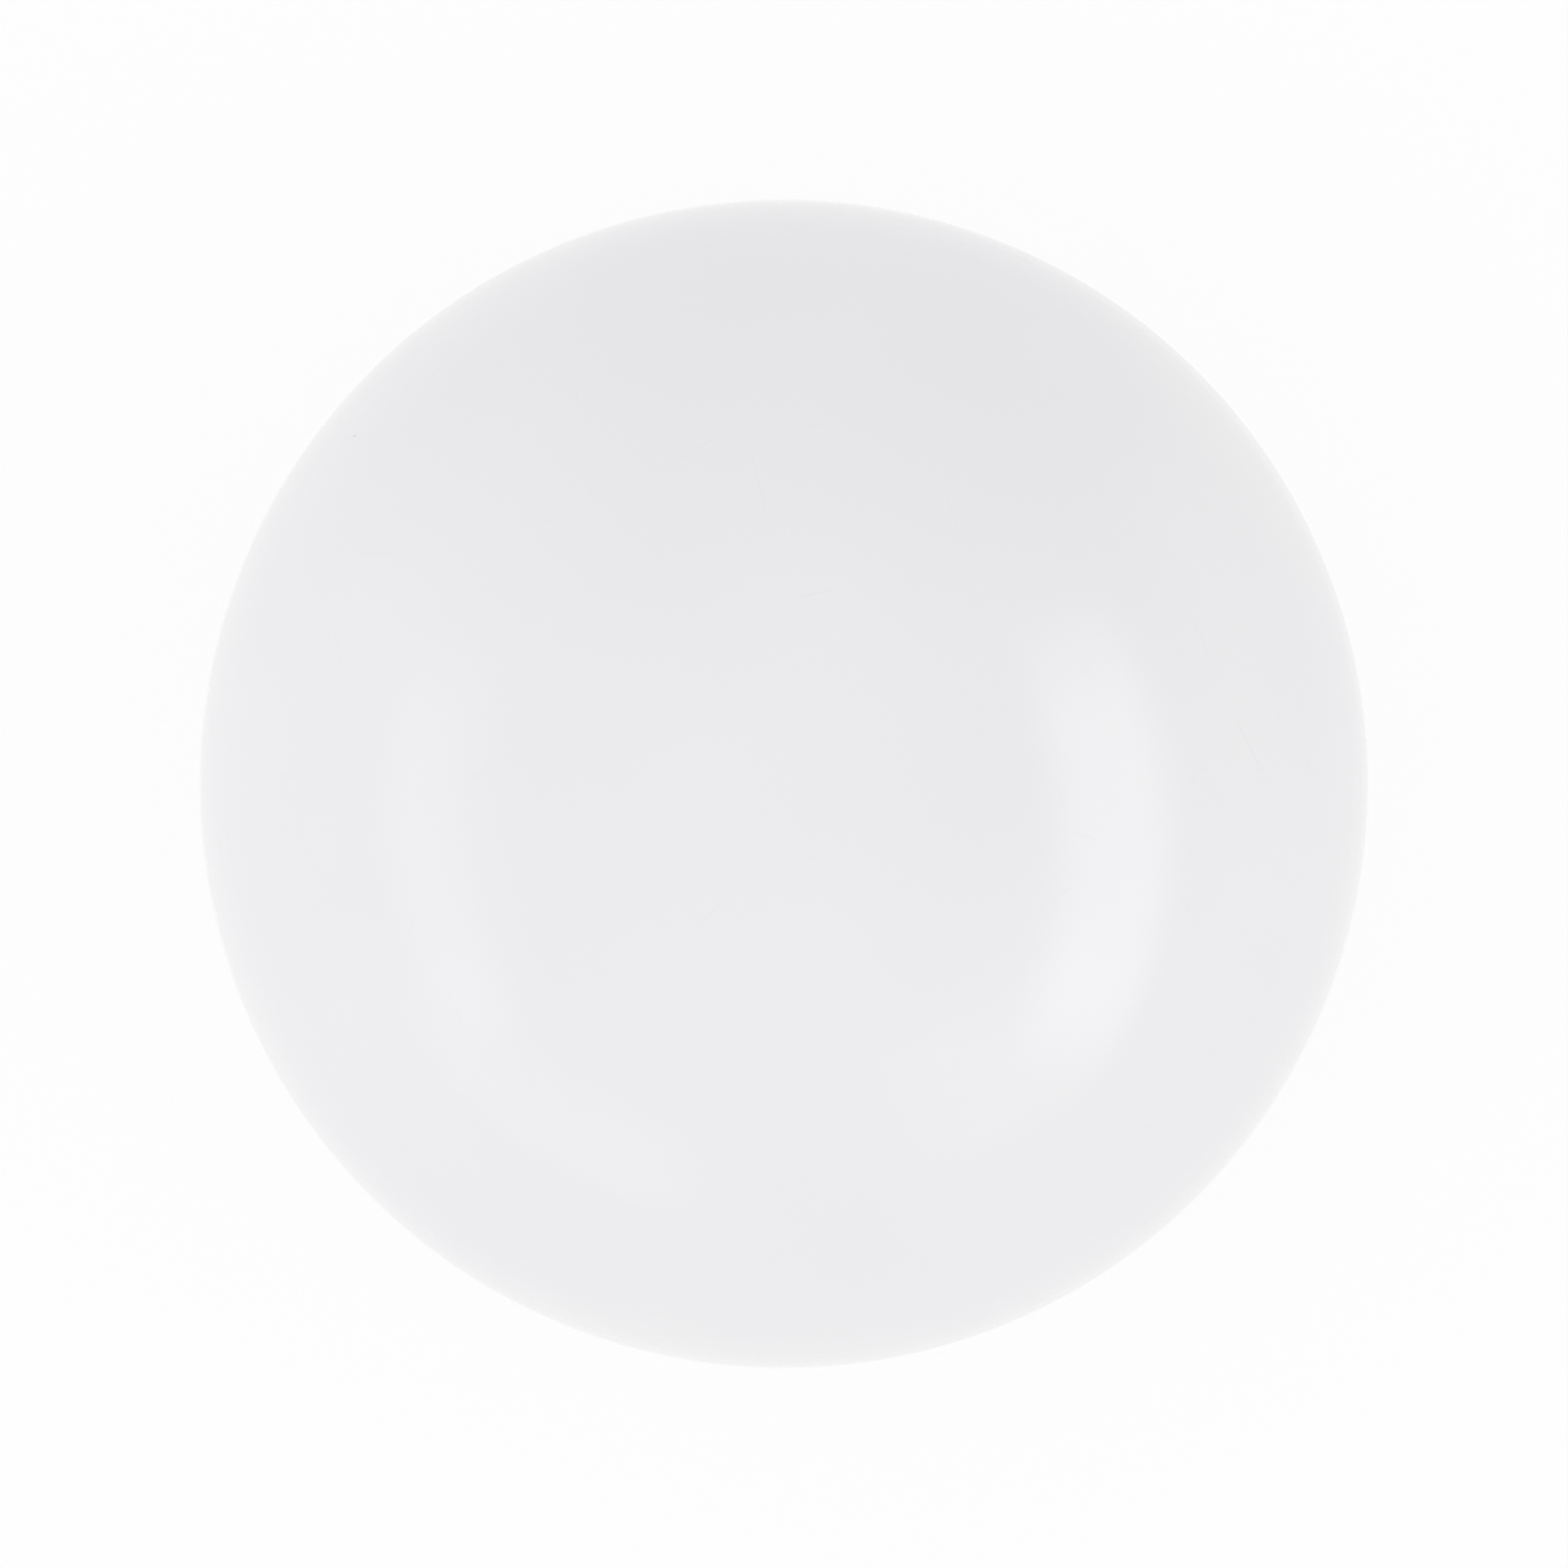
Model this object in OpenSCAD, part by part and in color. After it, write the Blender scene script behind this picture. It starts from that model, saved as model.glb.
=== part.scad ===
// Pool cue ball
//
// A polished ball of white cast phenolic resin with a steel core at its
// centre. It is the kind made for coin-operated tables, where a magnet in the
// return track pulls on the core and sorts this ball from the others. The
// resin is cast around the core, so the two are bonded and nothing moves.
//
// Sizes are in millimetres. The origin is the centre of the ball and +Z is up.

/* [Ball] */
// Diameter over the polished surface, 2 1/4 inches on a regulation ball
ball_d = 57.15; // [47.5:0.05:69]

/* [Core] */
// Diameter of the steel core, a stock 7/8 inch ball
core_d = 22.225; // [12:0.005:30]
// Radial gap between the core and the resin, none where it is cast in place
core_gap = 0; // [0:0.01:0.25]

/* [Hidden] */

RESIN_WHITE = "#ebebed";
STEEL_GREY = "#8c9096";

// Facets round each ball in a preview
$fn = 180;

// The cavity is sized on the core, so the resin closes on it all round.
cavity_d = core_d + 2 * core_gap;

// The white ball itself, with the closed cavity that the core fills
module resin_body() {
    color(RESIN_WHITE)
        difference() {
            sphere(d = ball_d);
            sphere(d = cavity_d);
        }
}

// The steel ball that the magnet pulls on
module steel_core() {
    color(STEEL_GREY)
        sphere(d = core_d);
}

resin_body();
steel_core();
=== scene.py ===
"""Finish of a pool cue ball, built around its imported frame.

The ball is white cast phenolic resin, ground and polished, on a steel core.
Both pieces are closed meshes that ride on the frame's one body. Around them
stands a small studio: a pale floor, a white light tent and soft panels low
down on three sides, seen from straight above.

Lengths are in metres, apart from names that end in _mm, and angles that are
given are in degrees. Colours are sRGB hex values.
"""

import logging
import math
from dataclasses import dataclass
from enum import Enum

import bpy
from mathutils import Euler, Matrix, Vector


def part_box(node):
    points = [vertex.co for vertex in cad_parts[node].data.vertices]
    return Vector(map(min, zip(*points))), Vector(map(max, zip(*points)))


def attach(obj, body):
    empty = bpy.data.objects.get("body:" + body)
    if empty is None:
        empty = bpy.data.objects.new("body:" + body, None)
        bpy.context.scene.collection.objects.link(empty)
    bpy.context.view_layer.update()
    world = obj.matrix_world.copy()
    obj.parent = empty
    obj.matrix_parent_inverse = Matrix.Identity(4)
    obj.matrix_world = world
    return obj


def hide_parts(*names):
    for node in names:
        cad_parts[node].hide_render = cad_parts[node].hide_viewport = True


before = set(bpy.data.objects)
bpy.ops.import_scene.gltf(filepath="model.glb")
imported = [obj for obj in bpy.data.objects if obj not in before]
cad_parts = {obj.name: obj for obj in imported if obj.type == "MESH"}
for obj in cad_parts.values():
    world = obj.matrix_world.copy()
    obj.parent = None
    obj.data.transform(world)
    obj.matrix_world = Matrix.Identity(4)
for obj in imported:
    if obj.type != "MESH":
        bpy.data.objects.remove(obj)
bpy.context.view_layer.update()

MM = 0.001
QUARTER_TURN = math.pi / 2
# A matrix with this many rows can hold a move as well as a turn.
MATRIX_ROWS = 4
BODY = "root"
WHITE = "#FFFFFF"
# The largest value that two hex digits hold.
BYTE_MAX = 255
# The sRGB curve: a straight line up to its knee, and a power of the shifted value above it.
SRGB_KNEE = 0.04045
SRGB_SLOPE = 12.92
SRGB_SHIFT = 0.055
SRGB_POWER = 2.4
# Nearly all of a noise texture's values lie between these two.
NOISE_SPREAD = (0.3, 0.7)
# The core and the cavity wall around it have the same quads, so that they meet face to face.
CORE_ROUNDS = 5

log = logging.getLogger("cue_ball")


# ---------------------------------------------------------------- helpers


def linear(hex_colour: str) -> tuple[float, float, float, float]:
    """Turns an sRGB hex colour into the linear values that shaders take.

    Args:
        hex_colour: six hex digits after a hash, such as "#EBEBED".

    Returns:
        Linear red, green and blue, and an alpha of 1.
    """
    channels = [value / BYTE_MAX for value in bytes.fromhex(hex_colour.lstrip("#"))]
    red, green, blue = (
        c / SRGB_SLOPE if c <= SRGB_KNEE else ((c + SRGB_SHIFT) / (1 + SRGB_SHIFT)) ** SRGB_POWER
        for c in channels
    )
    return red, green, blue, 1.0


def add_node(
    tree: bpy.types.NodeTree,
    kind: str,
    inputs: dict[str | int, object] | None = None,
    **settings: object,
) -> bpy.types.Node:
    """Adds a shader node, sets it up and links what feeds it.

    Args:
        tree: node tree of a material or of the world.
        kind: the node's type without "ShaderNode" in front.
        inputs: for each input, the output that feeds it or its plain value.
        settings: properties of the node itself.

    Returns:
        The new node.
    """
    node = tree.nodes.new("ShaderNode" + kind)
    for name, value in settings.items():
        setattr(node, name, value)
    for name, value in (inputs or {}).items():
        if isinstance(value, bpy.types.NodeSocket):
            tree.links.new(value, node.inputs[name])
        else:
            node.inputs[name].default_value = value
    return node


def band(
    tree: bpy.types.NodeTree,
    value: bpy.types.NodeSocket,
    low: tuple[float, float],
    high: tuple[float, float],
) -> bpy.types.NodeSocket:
    """Picks out a stretch of a value, with soft ends.

    Args:
        tree: node tree of a material.
        value: the value to look at, such as a coordinate.
        low: where the stretch starts to rise from 0, and where it reaches 1.
        high: where it starts to fall from 1, and where it is back at 0.

    Returns:
        1 inside the stretch and 0 outside it.
    """
    sides = [
        add_node(
            tree,
            "MapRange",
            {"Value": value, "From Min": dark, "From Max": bright},
            interpolation_type="SMOOTHSTEP",
        )
        for dark, bright in (low, high[::-1])
    ]
    inside = add_node(
        tree,
        "Math",
        {i: side.outputs["Result"] for i, side in enumerate(sides)},
        operation="MULTIPLY",
    )
    return inside.outputs["Value"]


def new_tree(owner: bpy.types.Material | bpy.types.World) -> bpy.types.NodeTree:
    """Gives a material or the world an empty node tree.

    Args:
        owner: the material or world.

    Returns:
        The empty tree.
    """
    owner.use_nodes = True
    owner.node_tree.nodes.clear()
    return owner.node_tree


def deselect_all() -> None:
    """Leaves nothing selected, so that the next operator acts on its own piece only."""
    if bpy.context.object and bpy.context.object.mode != "OBJECT":
        bpy.ops.object.mode_set(mode="OBJECT")
    bpy.ops.object.select_all(action="DESELECT")


def dress(piece: bpy.types.Object, material: bpy.types.Material) -> None:
    """Gives the whole of a piece one material."""
    piece.data.materials.clear()
    piece.data.materials.append(material)


# ------------------------------------------------------------------ shape


class Facing(Enum):
    """Which way a ball-shaped surface faces."""

    OUT = "out"
    INTO_CAVITY = "into cavity"


@dataclass(frozen=True)
class BallSurface:
    """A sphere of near-even quads, with no poles and no seam.

    It grows from a cube. Each round halves every edge and presses the new
    corners out to the radius, so that the quads stay close to one size.
    """

    radius: float
    rounds: int
    facing: Facing = Facing.OUT

    def build(self, name: str) -> bpy.types.Object:
        """Builds the surface about the origin.

        Args:
            name: name for the object and its mesh.

        Returns:
            The new object, selected and active.
        """
        deselect_all()
        bpy.ops.mesh.primitive_cube_add(size=self.radius)
        surface = bpy.context.object
        surface.name = name
        surface.data.name = name
        for _ in range(self.rounds):
            self._halve_edges()
            self._press_round(surface)
        self._finish_normals()
        return surface

    def _halve_edges(self) -> None:
        """Cuts every quad of the active surface into four."""
        bpy.ops.object.mode_set(mode="EDIT")
        bpy.ops.mesh.select_all(action="SELECT")
        bpy.ops.mesh.subdivide(number_cuts=1)
        bpy.ops.object.mode_set(mode="OBJECT")

    def _press_round(self, surface: bpy.types.Object) -> None:
        """Moves every corner straight out from the centre to the radius.

        Args:
            surface: the active object.
        """
        press = surface.modifiers.new("Press round", "CAST")
        press.cast_type = "SPHERE"
        press.factor = 1.0
        press.size = self.radius
        press.use_radius_as_size = False
        bpy.ops.object.modifier_apply(modifier=press.name)

    def _finish_normals(self) -> None:
        """Turns the faces the right way and shades them smooth."""
        bpy.ops.object.mode_set(mode="EDIT")
        bpy.ops.mesh.select_all(action="SELECT")
        bpy.ops.mesh.normals_make_consistent(inside=self.facing is Facing.INTO_CAVITY)
        bpy.ops.object.mode_set(mode="OBJECT")
        bpy.ops.object.shade_smooth()


# --------------------------------------------------------------- finishes


@dataclass(frozen=True)
class PolishedPhenolic:
    """Phenolic resin, cast white right through, then ground and polished.

    Casting leaves a very faint clouding and a few pinholes. Grinding leaves a
    slight waviness, which bends the edges of a reflection. Polishing leaves a
    clear gloss with a trace of haze, and play adds fine hairlines to it.
    """

    radius: float
    white: str = "#ECECEE"
    cloud: str = "#EAEAED"
    cloud_mm: float = 14.0
    # Octaves of finer noise on top of the first. Clouds have soft edges, so they take only one.
    cloud_octaves: float = 1.0
    ior: float = 1.6
    # Roughness of the clear polish, and of the haze in it.
    clear_gloss: float = 0.06
    hazy_gloss: float = 0.09
    haze_mm: float = 6.0
    wave_mm: float = 3.0
    wave_height_mm: float = 0.003
    # The waves are smooth swells, with nothing finer on them.
    wave_octaves: float = 0.0
    pinhole_colour: str = "#BDBBB8"
    pinhole_radius_mm: float = 0.09
    pinhole_spacing_mm: float = 6.0
    pinhole_depth_mm: float = 0.03
    # Where the largest pinhole lies: how far round from the right, and how far down from the top.
    large_pinhole_turn: float = 141.0
    large_pinhole_tilt: float = 64.0
    large_pinhole_radius_mm: float = 0.13
    hairline_colour: str = "#E9E9EB"
    # A real hairline is about 0.01 mm wide, too fine to show, so it is drawn coarser.
    hairline_mm: float = 0.06
    hairline_spacing_mm: float = 7.0
    hairline_length_mm: float = 3.0
    hairline_depth_mm: float = 0.0004
    hairline_dulling: float = 0.05
    # Directions across the planes that the hairlines follow.
    hairlines_across: tuple[tuple[float, float, float], ...] = (
        (1.0, 0.4, 0.3),
        (-0.5, 1.0, 0.6),
        (0.3, -0.7, 1.0),
    )
    # A hairline starts to show where noise passes the first, and is at full depth at the second.
    hairline_runs: tuple[float, float] = (0.58, 0.64)

    def build(self) -> bpy.types.Material:
        """Builds the material.

        Returns:
            The finished material, which reads Object coordinates.
        """
        material = bpy.data.materials.new("polished_cast_phenolic")
        tree = new_tree(material)
        place = add_node(tree, "TexCoord").outputs["Object"]
        pinholes = self._pinholes(tree, place)
        hairlines = self._hairlines(tree, place)
        shader = add_node(
            tree,
            "BsdfPrincipled",
            {
                "Base Color": self._colour(tree, place, pinholes, hairlines),
                "Roughness": self._roughness(tree, place, hairlines),
                "Normal": self._relief(tree, place, pinholes, hairlines),
                "IOR": self.ior,
            },
        )
        add_node(tree, "OutputMaterial", {"Surface": shader.outputs["BSDF"]})
        return material

    def _pinholes(
        self, tree: bpy.types.NodeTree, place: bpy.types.NodeSocket
    ) -> bpy.types.NodeSocket:
        """Scatters bubbles through the resin, a few of which the surface cuts.

        Args:
            tree: the material's node tree.
            place: coordinates in metres.

        Returns:
            1 in a pinhole and 0 around it.
        """
        scale = 1 / (self.pinhole_spacing_mm * MM)
        bubbles = add_node(tree, "TexVoronoi", {"Vector": place, "Scale": scale})
        tilt = math.radians(self.large_pinhole_tilt)
        turn = math.radians(self.large_pinhole_turn)
        outward = Vector(
            (math.sin(tilt) * math.cos(turn), math.sin(tilt) * math.sin(turn), math.cos(tilt))
        )
        from_large = add_node(
            tree, "VectorMath", {0: place, 1: outward * self.radius}, operation="DISTANCE"
        )
        holes = [
            add_node(
                tree,
                "MapRange",
                {"Value": distance, "From Max": reach, "To Min": 1.0, "To Max": 0.0},
                interpolation_type="SMOOTHSTEP",
            ).outputs["Result"]
            for distance, reach in (
                (bubbles.outputs["Distance"], self.pinhole_radius_mm / self.pinhole_spacing_mm),
                (from_large.outputs["Value"], self.large_pinhole_radius_mm * MM),
            )
        ]
        return add_node(tree, "Math", dict(enumerate(holes)), operation="MAXIMUM").outputs["Value"]

    def _hairlines(
        self, tree: bpy.types.NodeTree, place: bpy.types.NodeSocket
    ) -> bpy.types.NodeSocket:
        """Lays short straight hairlines in a few directions.

        They follow evenly spaced planes through the ball, and noise leaves only
        a short run of each here and there.

        Args:
            tree: the material's node tree.
            place: coordinates in metres.

        Returns:
            1 on a hairline and 0 off it.
        """
        spacing = self.hairline_spacing_mm * MM
        reach = self.hairline_mm / self.hairline_spacing_mm
        # Each hairline runs halfway between two whole steps of the spacing.
        middle = 0.5
        hairlines: bpy.types.NodeSocket | float = 0.0
        for patch, across in enumerate(self.hairlines_across):
            planes = add_node(
                tree,
                "VectorMath",
                {0: place, 1: Vector(across).normalized() / spacing},
                operation="DOT_PRODUCT",
            )
            between = add_node(tree, "Math", {0: planes.outputs["Value"]}, operation="FRACT")
            line = band(
                tree, between.outputs["Value"], (middle - reach, middle), (middle, middle + reach)
            )
            noise = add_node(
                tree,
                "TexNoise",
                {"Vector": place, "W": patch, "Scale": 1 / (self.hairline_length_mm * MM)},
                noise_dimensions="4D",
            )
            run = add_node(
                tree,
                "MapRange",
                {
                    "Value": noise.outputs["Fac"],
                    "From Min": self.hairline_runs[0],
                    "From Max": self.hairline_runs[1],
                },
            )
            hairlines = add_node(
                tree,
                "Math",
                {0: line, 1: run.outputs["Result"], 2: hairlines},
                operation="MULTIPLY_ADD",
                use_clamp=True,
            ).outputs["Value"]
        return hairlines

    def _colour(
        self,
        tree: bpy.types.NodeTree,
        place: bpy.types.NodeSocket,
        pinholes: bpy.types.NodeSocket,
        hairlines: bpy.types.NodeSocket,
    ) -> bpy.types.NodeSocket:
        """Clouds the white faintly, and greys what polish and chalk have settled in.

        Args:
            tree: the material's node tree.
            place: coordinates in metres.
            pinholes: 1 in a pinhole and 0 around it.
            hairlines: 1 on a hairline and 0 off it.

        Returns:
            The base colour.
        """
        noise = add_node(
            tree,
            "TexNoise",
            {
                "Vector": place,
                "Scale": 1 / (self.cloud_mm * MM),
                "Detail": self.cloud_octaves,
            },
        )
        clouding = add_node(
            tree,
            "MapRange",
            {
                "Value": noise.outputs["Fac"],
                "From Min": NOISE_SPREAD[0],
                "From Max": NOISE_SPREAD[1],
            },
        )
        colour: bpy.types.NodeSocket | tuple[float, ...] = linear(self.white)
        for share, shade in (
            (clouding.outputs["Result"], self.cloud),
            (hairlines, self.hairline_colour),
            (pinholes, self.pinhole_colour),
        ):
            colour = add_node(
                tree,
                "Mix",
                {"Factor": share, "A": colour, "B": linear(shade)},
                data_type="RGBA",
            ).outputs["Result"]
        return colour

    def _roughness(
        self,
        tree: bpy.types.NodeTree,
        place: bpy.types.NodeSocket,
        hairlines: bpy.types.NodeSocket,
    ) -> bpy.types.NodeSocket:
        """Varies the gloss a little from patch to patch and dulls the hairlines.

        Args:
            tree: the material's node tree.
            place: coordinates in metres.
            hairlines: 1 on a hairline and 0 off it.

        Returns:
            The roughness.
        """
        noise = add_node(tree, "TexNoise", {"Vector": place, "Scale": 1 / (self.haze_mm * MM)})
        haze = add_node(
            tree,
            "MapRange",
            {
                "Value": noise.outputs["Fac"],
                "From Min": NOISE_SPREAD[0],
                "From Max": NOISE_SPREAD[1],
                "To Min": self.clear_gloss,
                "To Max": self.hazy_gloss,
            },
        )
        dulled = add_node(
            tree,
            "Math",
            {0: hairlines, 1: self.hairline_dulling, 2: haze.outputs["Result"]},
            operation="MULTIPLY_ADD",
        )
        return dulled.outputs["Value"]

    def _relief(
        self,
        tree: bpy.types.NodeTree,
        place: bpy.types.NodeSocket,
        pinholes: bpy.types.NodeSocket,
        hairlines: bpy.types.NodeSocket,
    ) -> bpy.types.NodeSocket:
        """Adds the waviness from grinding and sinks the pinholes and hairlines.

        Heights are added up in millimetres, and the last node turns them to metres.

        Args:
            tree: the material's node tree.
            place: coordinates in metres.
            pinholes: 1 in a pinhole and 0 around it.
            hairlines: 1 on a hairline and 0 off it.

        Returns:
            The bent normal.
        """
        waves = add_node(
            tree,
            "TexNoise",
            {
                "Vector": place,
                "Scale": 1 / (self.wave_mm * MM),
                "Detail": self.wave_octaves,
            },
        )
        height = add_node(
            tree,
            "Math",
            {0: waves.outputs["Fac"], 1: self.wave_height_mm},
            operation="MULTIPLY",
        )
        for sunk, depth_mm in (
            (pinholes, self.pinhole_depth_mm),
            (hairlines, self.hairline_depth_mm),
        ):
            height = add_node(
                tree,
                "Math",
                {0: sunk, 1: -depth_mm, 2: height.outputs["Value"]},
                operation="MULTIPLY_ADD",
            )
        relief = add_node(tree, "Bump", {"Height": height.outputs["Value"], "Distance": MM})
        return relief.outputs["Normal"]


@dataclass(frozen=True)
class BlastedBearingSteel:
    """Bearing steel, ground to a true ball and blasted so that resin keys to it.

    Blasting leaves an even dull grey with fine pits.
    """

    bright: str = "#A3A6AA"
    dull: str = "#85888D"
    # Roughness of the bright grain, and of the dull grain.
    bright_gloss: float = 0.38
    dull_gloss: float = 0.52
    # A real pit is about 0.05 mm wide, too fine to show, so it is drawn coarser.
    pit_mm: float = 0.25
    pit_depth_mm: float = 0.02
    # Octaves of finer noise, so that the pits have ragged edges.
    pit_octaves: float = 3.0

    def build(self) -> bpy.types.Material:
        """Builds the material.

        Returns:
            The finished material, which reads Object coordinates.
        """
        material = bpy.data.materials.new("blasted_bearing_steel")
        tree = new_tree(material)
        place = add_node(tree, "TexCoord").outputs["Object"]
        pits = add_node(
            tree,
            "TexNoise",
            {
                "Vector": place,
                "Scale": 1 / (self.pit_mm * MM),
                "Detail": self.pit_octaves,
            },
        ).outputs["Fac"]
        colour = add_node(
            tree,
            "Mix",
            {"Factor": pits, "A": linear(self.dull), "B": linear(self.bright)},
            data_type="RGBA",
        )
        roughness = add_node(
            tree,
            "MapRange",
            {"Value": pits, "To Min": self.dull_gloss, "To Max": self.bright_gloss},
        )
        relief = add_node(tree, "Bump", {"Height": pits, "Distance": self.pit_depth_mm * MM})
        shader = add_node(
            tree,
            "BsdfPrincipled",
            {
                "Base Color": colour.outputs["Result"],
                "Metallic": 1.0,
                "Roughness": roughness.outputs["Result"],
                "Normal": relief.outputs["Normal"],
            },
        )
        add_node(tree, "OutputMaterial", {"Surface": shader.outputs["BSDF"]})
        return material


# ----------------------------------------------------------------- pieces


@dataclass
class ResinBody:
    """The white ball, a closed body with a cavity for the core."""

    radius: float
    cavity_radius: float
    surface_rounds: int = 6
    cavity_rounds: int = CORE_ROUNDS
    piece: bpy.types.Object | None = None

    def build(self) -> None:
        """Builds the outer surface and the cavity wall as one closed mesh."""
        outside = BallSurface(self.radius, self.surface_rounds).build("cue_ball_body")
        cavity = BallSurface(self.cavity_radius, self.cavity_rounds, Facing.INTO_CAVITY)
        wall = cavity.build("cavity_wall")
        deselect_all()
        wall.select_set(True)
        outside.select_set(True)
        bpy.context.view_layer.objects.active = outside
        bpy.ops.object.join()
        self.piece = outside

    def finish(self, resin: bpy.types.Material) -> None:
        """Dresses the body and puts it on the frame in place of its plain solid.

        Args:
            resin: the finish of the whole body.
        """
        dress(self.piece, resin)
        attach(self.piece, BODY)
        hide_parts("resin_body")


@dataclass
class SteelCore:
    """The steel ball that the resin is cast around."""

    radius: float
    rounds: int = CORE_ROUNDS
    piece: bpy.types.Object | None = None

    def build(self) -> None:
        """Builds the ball with the same quads as the cavity wall that it fills."""
        self.piece = BallSurface(self.radius, self.rounds).build("core_ball")

    def finish(self, steel: bpy.types.Material) -> None:
        """Dresses the core and puts it on the frame in place of its plain solid.

        Args:
            steel: the finish of the whole core.
        """
        dress(self.piece, steel)
        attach(self.piece, BODY)
        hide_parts("steel_core")


# ----------------------------------------------------------------- studio


class SeenBy(Enum):
    """Kinds of ray that show a background, by their names on the Light Path node."""

    CAMERA = "Is Camera Ray"
    GLOSSY = "Is Glossy Ray"
    TRANSMISSION = "Is Transmission Ray"


def turned(degrees: float, axis: str) -> Matrix:
    """Gives a turn about one axis through the origin.

    Args:
        degrees: the angle, anticlockwise as seen from the axis's far end.
        axis: "X", "Y" or "Z".

    Returns:
        The turn, as a matrix that can be chained with a move.
    """
    return Matrix.Rotation(math.radians(degrees), MATRIX_ROWS, axis)


def whitening(tree: bpy.types.NodeTree, share: float) -> bpy.types.NodeSocket:
    """Tells the rays that show the background from those that only light things.

    Args:
        tree: node tree of a material or of the world.
        share: how far the background is whitened for the rays that show it, from 0 to 1.

    Returns:
        The share for a ray that shows the background, and 0 for any other.
    """
    path = add_node(tree, "LightPath")
    total: bpy.types.NodeSocket | float = 0.0
    for kind in SeenBy:
        more = add_node(
            tree,
            "Math",
            {0: path.outputs[kind.value], 1: share, 2: total},
            operation="MULTIPLY_ADD",
        )
        total = more.outputs["Value"]
    return total


@dataclass(frozen=True)
class LightTent:
    """White cloth all round, as the world.

    It is evenly lit from top to bottom, and grows stronger from right to left
    to balance the stronger panel on the right.
    """

    light: float = 0.92
    # How much stronger it is at the far left than straight above, and weaker at the far right.
    left_lift: float = 0.18
    # How bright the cloth shows: as bright as the floor in front of it, so that no horizon shows.
    shown: float = 0.98

    def build(self) -> None:
        """Lights the scene softly, and shows near white wherever it is seen."""
        world = bpy.data.worlds.new("light_tent")
        bpy.context.scene.world = world
        tree = new_tree(world)
        outward = add_node(tree, "TexCoord").outputs["Generated"]
        towards = add_node(tree, "SeparateXYZ", {0: outward})
        lit = add_node(
            tree,
            "Math",
            {0: towards.outputs["X"], 1: -self.left_lift, 2: self.light},
            operation="MULTIPLY_ADD",
        )
        strength = add_node(
            tree,
            "Mix",
            {"Factor": whitening(tree, 1.0), "A": lit.outputs["Value"], "B": self.shown},
            data_type="FLOAT",
        )
        cloth = add_node(
            tree,
            "Background",
            {"Color": linear(WHITE), "Strength": strength.outputs["Result"]},
        )
        add_node(tree, "OutputWorld", {"Surface": cloth.outputs["Background"]})


@dataclass(frozen=True)
class PaleFloor:
    """A plain pale floor under the ball, which shows near white and keeps a light shadow."""

    ball_radius: float
    width: float = 20.0
    # The paper shows whiter than in the light that it throws back at the ball.
    shown_paper: str = "#FAFAFA"
    lighting_paper: str = "#E6E6E6"
    # How much of what shows is plain white. The rest is the paper, which takes the shadow.
    white_share: float = 0.85

    def build(self) -> None:
        """Lays the floor."""
        deselect_all()
        bpy.ops.mesh.primitive_plane_add(size=self.width, location=(0, 0, -self.ball_radius))
        floor = bpy.context.object
        floor.name = "studio_floor"
        dress(floor, self._finish())

    def _finish(self) -> bpy.types.Material:
        """Makes matt paper that is mostly whitened for the rays that show it.

        Returns:
            The finished material.
        """
        material = bpy.data.materials.new("matt_paper")
        tree = new_tree(material)
        colour = add_node(
            tree,
            "Mix",
            {
                "Factor": whitening(tree, 1.0),
                "A": linear(self.lighting_paper),
                "B": linear(self.shown_paper),
            },
            data_type="RGBA",
        )
        paper = add_node(tree, "BsdfDiffuse", {"Color": colour.outputs["Result"]})
        white = add_node(tree, "Emission", {"Color": linear(WHITE), "Strength": 1.0})
        mixed = add_node(
            tree,
            "MixShader",
            {
                0: whitening(tree, self.white_share),
                1: paper.outputs["BSDF"],
                2: white.outputs["Emission"],
            },
        )
        add_node(tree, "OutputMaterial", {"Surface": mixed.outputs["Shader"]})
        return material


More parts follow.
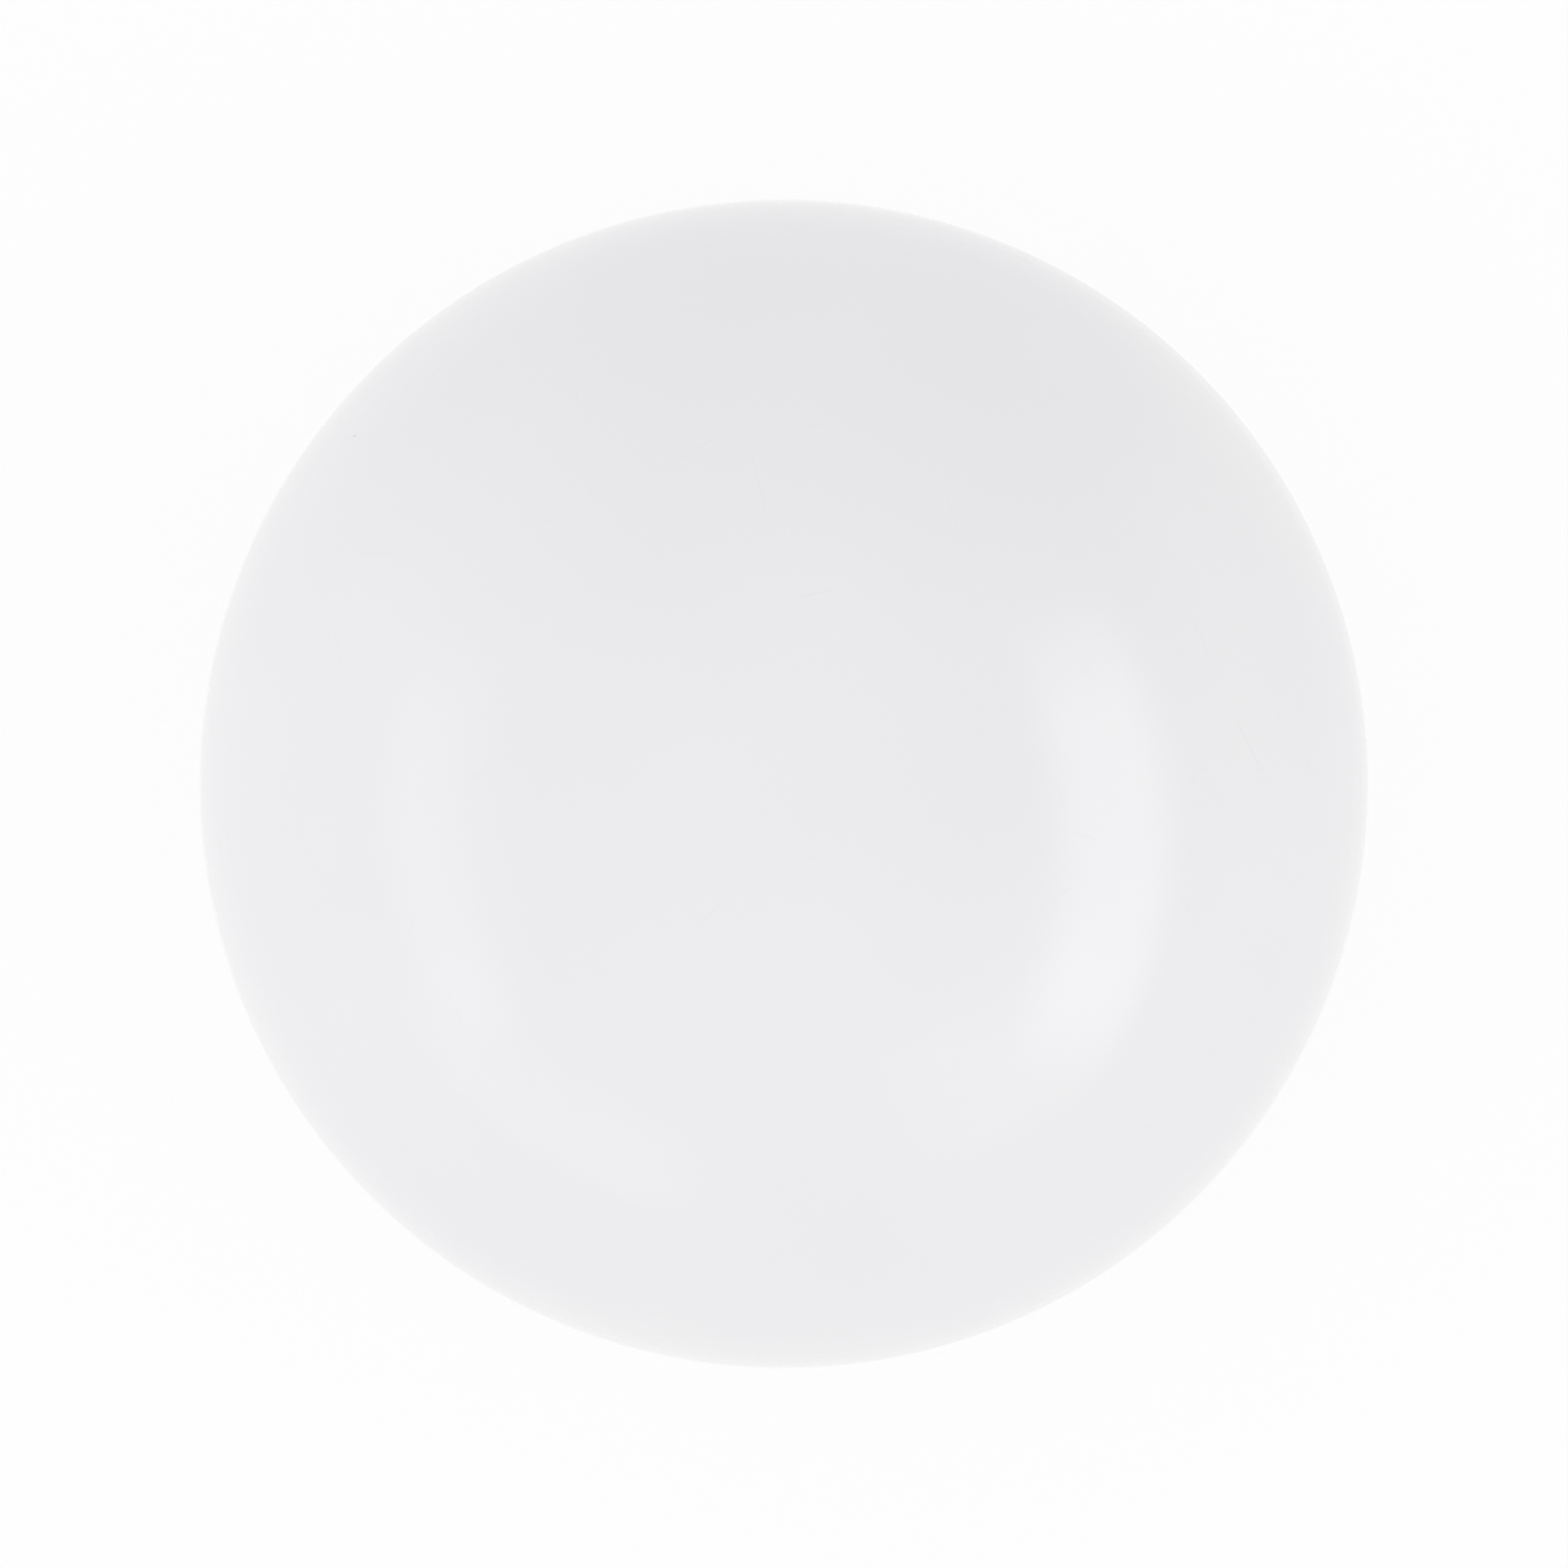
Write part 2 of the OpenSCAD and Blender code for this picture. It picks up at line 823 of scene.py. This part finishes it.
@dataclass(frozen=True)
class SoftPanel:
    """A lamp behind thick cloth, which fades at its ends and edges.

    Azimuth 0 is to the right of the ball and 90 behind it. The width and height
    are where the cloth is half as bright as in its middle.
    """

    name: str
    azimuth: float
    elevation: float
    roll: float
    width: float
    height: float
    end_fade: float
    edge_fade: float
    glow: float
    colour: str = "#FFFEFC"
    distance: float = 0.6

    def build(self) -> None:
        """Stands the panel facing the ball. It lights and reflects, but isn't seen itself."""
        deselect_all()
        bpy.ops.mesh.primitive_plane_add(size=1)
        panel = bpy.context.object
        panel.name = self.name
        full_size = (self.width + self.end_fade, self.height + self.edge_fade, 1, 1)
        # Read from the last line up: it is sized, stood up to face along X, moved out and swung.
        panel.matrix_world = (
            turned(self.azimuth, "Z")
            @ turned(-self.elevation, "Y")
            @ turned(self.roll, "X")
            @ Matrix.Translation((self.distance, 0, 0))
            @ Euler((QUARTER_TURN, 0, QUARTER_TURN)).to_matrix().to_4x4()
            @ Matrix.Diagonal(full_size)
        )
        panel.visible_camera = False
        dress(panel, self._finish())

    def _finish(self) -> bpy.types.Material:
        """Makes cloth that adds its glow to what stands behind it.

        Returns:
            The finished material.
        """
        material = bpy.data.materials.new(self.name + "_cloth")
        tree = new_tree(material)
        corner = add_node(tree, "TexCoord").outputs["UV"]
        across = add_node(tree, "SeparateXYZ", {0: corner})
        glow: bpy.types.NodeSocket | float = self.glow
        for side, fade in (
            ("X", self.end_fade / (self.width + self.end_fade)),
            ("Y", self.edge_fade / (self.height + self.edge_fade)),
        ):
            lit = band(tree, across.outputs[side], (0.0, fade), (1.0 - fade, 1.0))
            glow = add_node(tree, "Math", {0: glow, 1: lit}, operation="MULTIPLY").outputs["Value"]
        lamp = add_node(tree, "Emission", {"Color": linear(self.colour), "Strength": glow})
        behind = add_node(tree, "BsdfTransparent")
        both = add_node(
            tree, "AddShader", {0: lamp.outputs["Emission"], 1: behind.outputs["BSDF"]}
        )
        add_node(tree, "OutputMaterial", {"Surface": both.outputs["Shader"]})
        return material


# The strong panel on the right and the weaker one on the left give the ball its two bright
# crescents, and the two in front give it the soft light patches on its front.
PANELS = (
    SoftPanel(
        "right_panel",
        azimuth=-10,
        elevation=25,
        roll=15,
        width=0.75,
        height=0.25,
        end_fade=0.35,
        edge_fade=0.15,
        glow=0.95,
    ),
    SoftPanel(
        "left_panel",
        azimuth=190,
        elevation=20,
        roll=-5,
        width=0.6,
        height=0.2,
        end_fade=0.2,
        edge_fade=0.15,
        glow=0.4,
    ),
    SoftPanel(
        "front_left_panel",
        azimuth=235,
        elevation=10,
        roll=0,
        width=0.5,
        height=0.25,
        end_fade=0.25,
        edge_fade=0.15,
        glow=0.3,
    ),
    SoftPanel(
        "front_right_panel",
        azimuth=310,
        elevation=20,
        roll=-10,
        width=0.35,
        height=0.35,
        end_fade=0.25,
        edge_fade=0.15,
        glow=0.3,
    ),
)


@dataclass(frozen=True)
class OverheadCamera:
    """A camera straight above the ball, which fills a set share of the picture."""

    lens_mm: float = 100.0
    sensor_mm: float = 36.0
    fill: float = 0.7456

    def build(self, radius: float) -> None:
        """Hangs the camera at the height from which the ball fills its share.

        Args:
            radius: the ball's radius.
        """
        half_view = math.atan(self.fill * self.sensor_mm / 2 / self.lens_mm)
        data = bpy.data.cameras.new("overhead_camera")
        data.lens = self.lens_mm
        data.sensor_width = self.sensor_mm
        camera = bpy.data.objects.new("overhead_camera", data)
        camera.location = (0, 0, radius / math.sin(half_view))
        bpy.context.scene.collection.objects.link(camera)
        bpy.context.scene.camera = camera


# ------------------------------------------------------------------- main


def node_radius(node: str) -> float:
    """Finds the radius of a ball-shaped node of the frame, from its top and bottom.

    Args:
        node: the node's name.

    Returns:
        The radius.
    """
    low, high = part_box(node)
    return (high - low).z / 2


def main() -> None:
    """Builds the ball's two pieces, dresses them and sets up the studio."""
    logging.basicConfig(level=logging.INFO, format="%(name)s: %(message)s")
    bpy.context.scene.view_settings.view_transform = "Standard"
    radius = node_radius("resin_body")
    core_radius = node_radius("steel_core")

    body = ResinBody(radius, core_radius)
    body.build()
    body.finish(PolishedPhenolic(radius).build())
    log.info("resin body, %.2f mm across", 2 * radius / MM)

    core = SteelCore(core_radius)
    core.build()
    core.finish(BlastedBearingSteel().build())
    log.info("steel core, %.3f mm across", 2 * core_radius / MM)

    PaleFloor(radius).build()
    LightTent().build()
    for panel in PANELS:
        panel.build()
    OverheadCamera().build(radius)
    log.info("studio with %d panels", len(PANELS))


if __name__ == "__main__":
    main()
